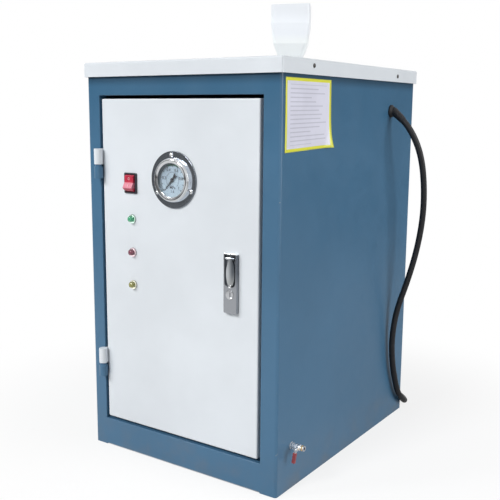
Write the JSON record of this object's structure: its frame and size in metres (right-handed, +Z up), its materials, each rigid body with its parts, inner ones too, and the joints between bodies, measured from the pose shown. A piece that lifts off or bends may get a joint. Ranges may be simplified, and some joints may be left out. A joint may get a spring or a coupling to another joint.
{
  "type": "electric steam generator",
  "caption": "Floor-standing electric steam generator: a blue sheet-metal cabinet with a white hinged door and lid, a gauge, switch, lamps, a filler funnel and a drain valve.",
  "frame": {"origin": "middle of the base on the floor", "axes": "+X to the right seen from the front, +Y to the back, +Z up"},
  "size_m": [0.4037, 0.603, 0.705],
  "materials": {
    "blue_paint": "satin powder coat",
    "white_paint": "satin powder coat",
    "zinc_sheet": "galvanised",
    "polished_steel": "polished",
    "bright_plating": "satin plated",
    "grey_plating": "zinc plated",
    "boiler_steel": "welded steel",
    "brass": "machined",
    "gauge_black": "satin plated flange",
    "dial_white": "matt enamel",
    "needle_black": "matt",
    "clear_glass": "clear",
    "black_plastic": "moulded",
    "red_plastic": "gloss",
    "green_lens": "gloss",
    "red_lens": "gloss",
    "yellow_lens": "gloss",
    "funnel_plastic": "translucent",
    "red_sleeve": "soft vinyl",
    "black_rubber": "matt"
  },
  "bodies": {
    "cabinet": {"left_stile": "blue_paint", "right_stile": "blue_paint", "top_rail": "blue_paint", "bottom_rail": "blue_paint", "left_side_panel": "blue_paint", "right_side_panel": "blue_paint", "back_panel": "blue_paint", "upper_hinge_frame_barrel": "blue_paint", "lower_hinge_frame_barrel": "blue_paint", "lid": "white_paint", "base_pan": "zinc_sheet", "upper_hinge_pin": "polished_steel", "lower_hinge_pin": "polished_steel", "drain_nipple": "grey_plating", "drain_valve_body": "grey_plating", "boiler_shell": "boiler_steel", "boiler_stand": "boiler_steel", "heater_flange": "boiler_steel", "steam_outlet": "brass", "steam_pipe": "brass", "filler_pipe": "brass", "drain_pipe": "brass", "cable_plug": "black_plastic", "filler_funnel": "funnel_plastic", "cable_grommet": "black_rubber", "cable_run": "black_rubber", "cable_coil": "black_rubber", "cable_tail": "black_rubber"},
    "door": {"door_panel": "white_paint", "upper_hinge_door_barrel": "white_paint", "lower_hinge_door_barrel": "white_paint", "gauge_case": "gauge_black", "gauge_bezel": "polished_steel", "gauge_dial": "dial_white", "gauge_glass": "clear_glass", "switch_housing": "black_plastic", "green_lamp_bezel": "bright_plating", "green_lamp_lens": "green_lens", "red_lamp_bezel": "bright_plating", "red_lamp_lens": "red_lens", "yellow_lamp_bezel": "bright_plating", "yellow_lamp_lens": "yellow_lens", "lock_plate": "bright_plating", "lock_cylinder": "bright_plating", "lock_case": "grey_plating", "latch_tongue": "grey_plating"},
    "needle": {"gauge_needle": "needle_black"},
    "rocker": {"switch_rocker": "red_plastic"},
    "handle": {"lock_handle": "bright_plating"},
    "drain": {"drain_lever": "grey_plating", "drain_grip": "red_sleeve"}
  },
  "joints": [
    {"name": "door_swing", "type": "hinge", "parent": "cabinet", "child": "door", "pos_m": [-0.1465, -0.219, 0.3], "axis": [0, 0, -1], "range_deg": [0, 110]},
    {"name": "gauge_needle_sweep", "type": "hinge", "parent": "door", "child": "needle", "pos_m": [-0.0051, -0.2164, 0.4334], "axis": [0, 1, 0], "range_deg": [0, 270], "stiffness_Nm_per_rad": 0.002},
    {"name": "switch_rock", "type": "hinge", "parent": "door", "child": "rocker", "pos_m": [-0.0874, -0.211, 0.4243], "axis": [1, 0, 0], "range_deg": [0, 30]},
    {"name": "lock_handle_flip", "type": "hinge", "parent": "door", "child": "handle", "pos_m": [0.0972, -0.2157, 0.3316], "axis": [-1, 0, 0], "range_deg": [0, 60]},
    {"name": "drain_turn", "type": "hinge", "parent": "cabinet", "child": "drain", "pos_m": [0.1865, -0.1825, 0.065], "axis": [0, -1, 0], "range_deg": [0, 90]}
  ]
}
